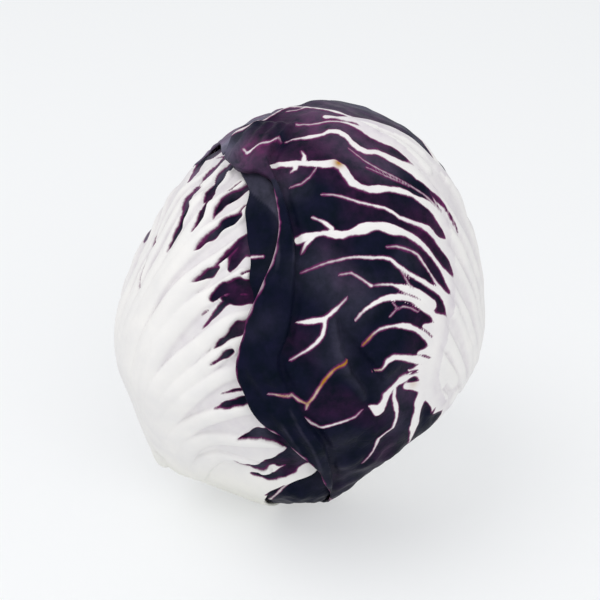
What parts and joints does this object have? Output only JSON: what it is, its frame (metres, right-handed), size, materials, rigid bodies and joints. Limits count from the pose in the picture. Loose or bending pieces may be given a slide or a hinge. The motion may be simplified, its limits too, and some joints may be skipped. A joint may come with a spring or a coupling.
{
  "type": "radicchio head",
  "caption": "Upright egg-shaped head of red radicchio: dark aubergine leaves with broad creamy ribs wrapped over one another around a trimmed stem.",
  "frame": {"origin": "centre of the footprint on the surface the head stands on, with z = 0 at the cut face of the stem", "axes": "+Z from the stem to the crown, -Y towards the seam between the wrapper leaves, +X to the right of that seam"},
  "size_m": [0.1068, 0.1032, 0.1263],
  "materials": {
    "stem": "pale cut stem tissue, matte, browned at the rim of the cut",
    "outer_leaf_dark": "blue-black to aubergine leaf with raised creamy veins edged in magenta, soft waxy sheen",
    "outer_leaf_ribbed": "broad creamy white ribs with aubergine leaf between them, soft waxy sheen",
    "inner_leaf": "paler crumpled inner leaf, white ribs and wine red blade",
    "heart_leaf": "tight youngest leaves, creamy with a pink flush"
  },
  "bodies": {
    "root": {"stem_core": "stem", "heart_bud": "heart_leaf", "leaf_outer_right": "outer_leaf_dark", "leaf_under_right": "outer_leaf_dark", "leaf_outer_left": "outer_leaf_ribbed", "leaf_outer_back": "outer_leaf_dark", "leaf_under_front": "outer_leaf_dark", "leaf_inner_1": "inner_leaf", "leaf_inner_2": "inner_leaf", "leaf_inner_3": "inner_leaf", "leaf_inner_4": "inner_leaf", "leaf_inner_5": "inner_leaf", "leaf_inner_6": "inner_leaf", "leaf_inner_7": "inner_leaf", "leaf_inner_8": "inner_leaf", "leaf_inner_9": "inner_leaf"}
  },
  "joints": []
}
